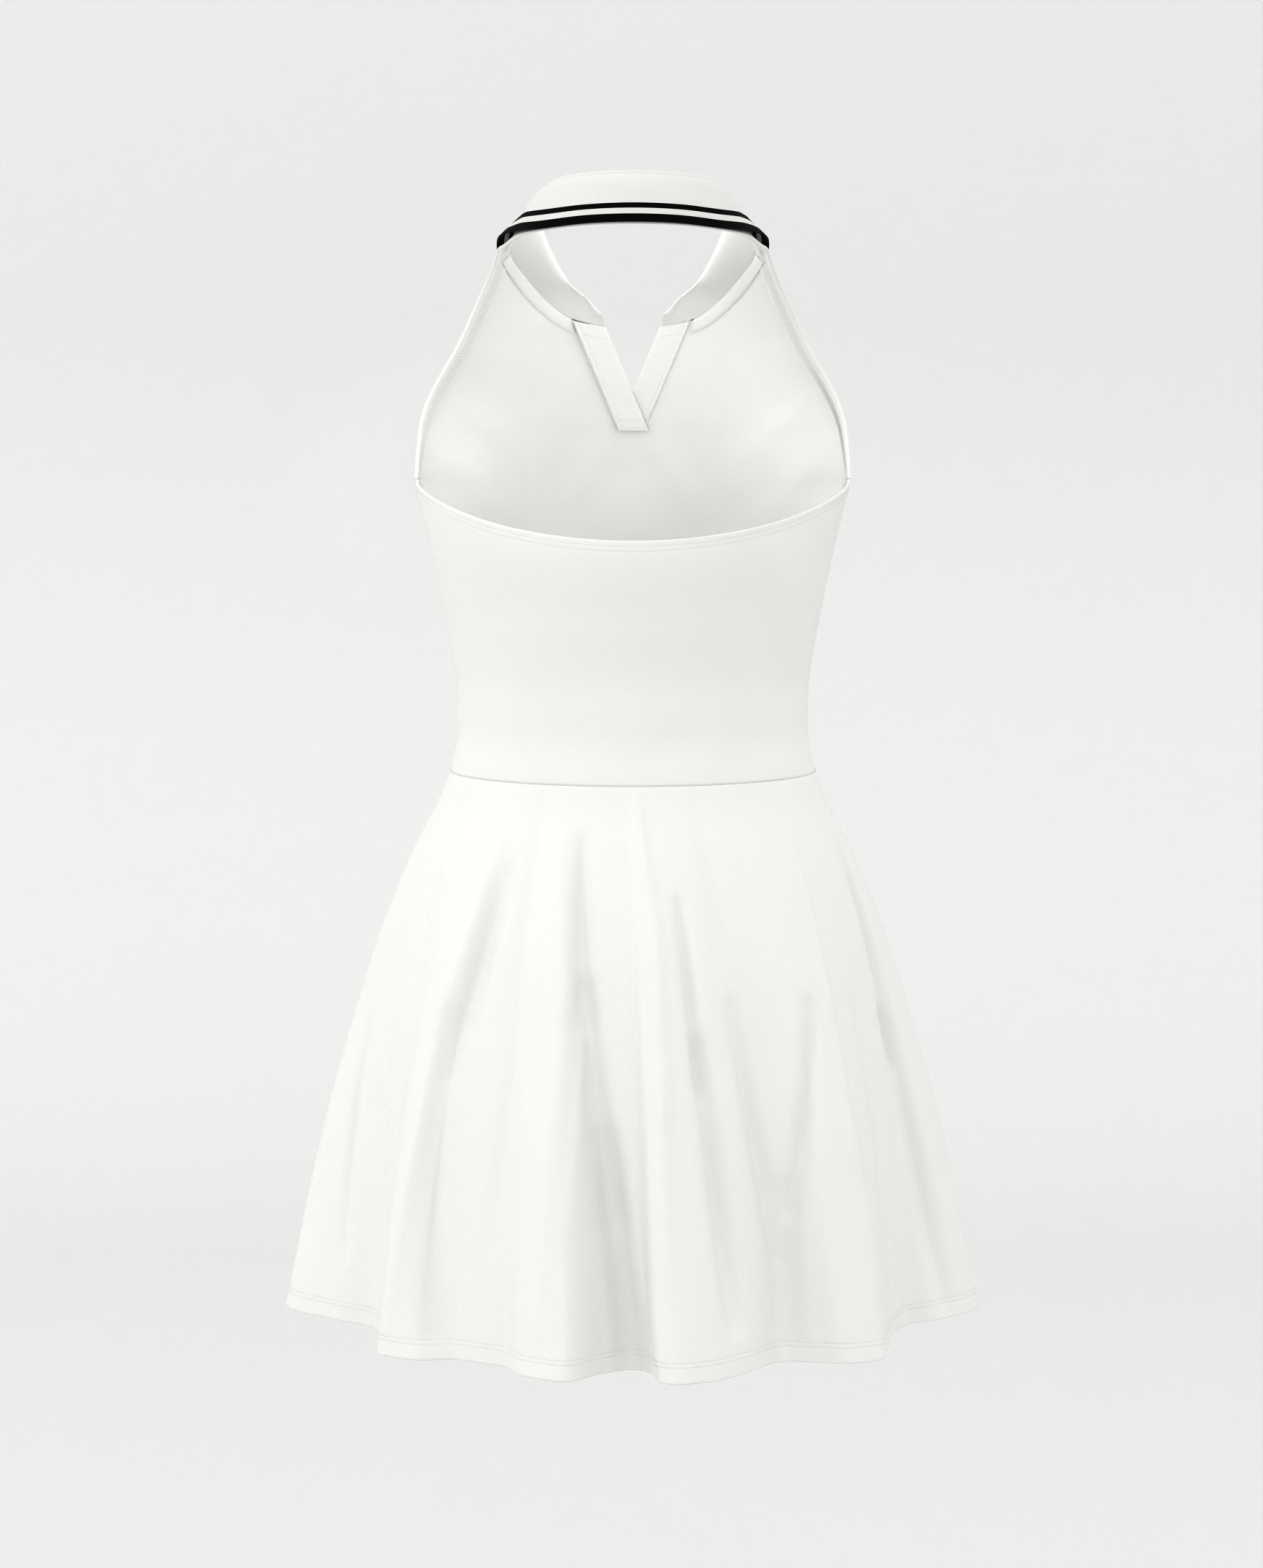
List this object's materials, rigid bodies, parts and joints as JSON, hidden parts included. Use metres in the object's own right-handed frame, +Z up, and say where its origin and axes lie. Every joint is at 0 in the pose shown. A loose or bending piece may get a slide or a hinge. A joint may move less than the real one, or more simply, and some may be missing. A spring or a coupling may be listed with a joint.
{
  "type": "halter tennis dress",
  "caption": "Sleeveless tennis dress with a striped polo collar, a short placket, a halter front, a low open back and a flared skirt, hollow as worn.",
  "frame": {"origin": "middle of the neck, level with the nape, where the collar carries the dress", "axes": "+Z up, -Y out of the back of the dress, which the picture shows, +Y out of its front, +X to the wearer's right"},
  "size_m": [0.5006, 0.4095, 0.8],
  "materials": {
    "jersey": "matt white knitted jersey",
    "collar_knit": "matt white flat-knitted rib with two black stripes along its outer edge",
    "binding": "matt white binding and tape",
    "placket": "matt white jersey, two layers",
    "thread": "white sewing thread"
  },
  "bodies": {
    "root": {"bodice_front": "jersey", "bodice_back": "jersey", "skirt_front": "jersey", "skirt_back": "jersey", "collar": "collar_knit", "armhole_binding": "binding", "neck_tape_left": "binding", "neck_tape_right": "binding", "placket_left": "placket", "placket_right": "placket"}
  },
  "joints": []
}
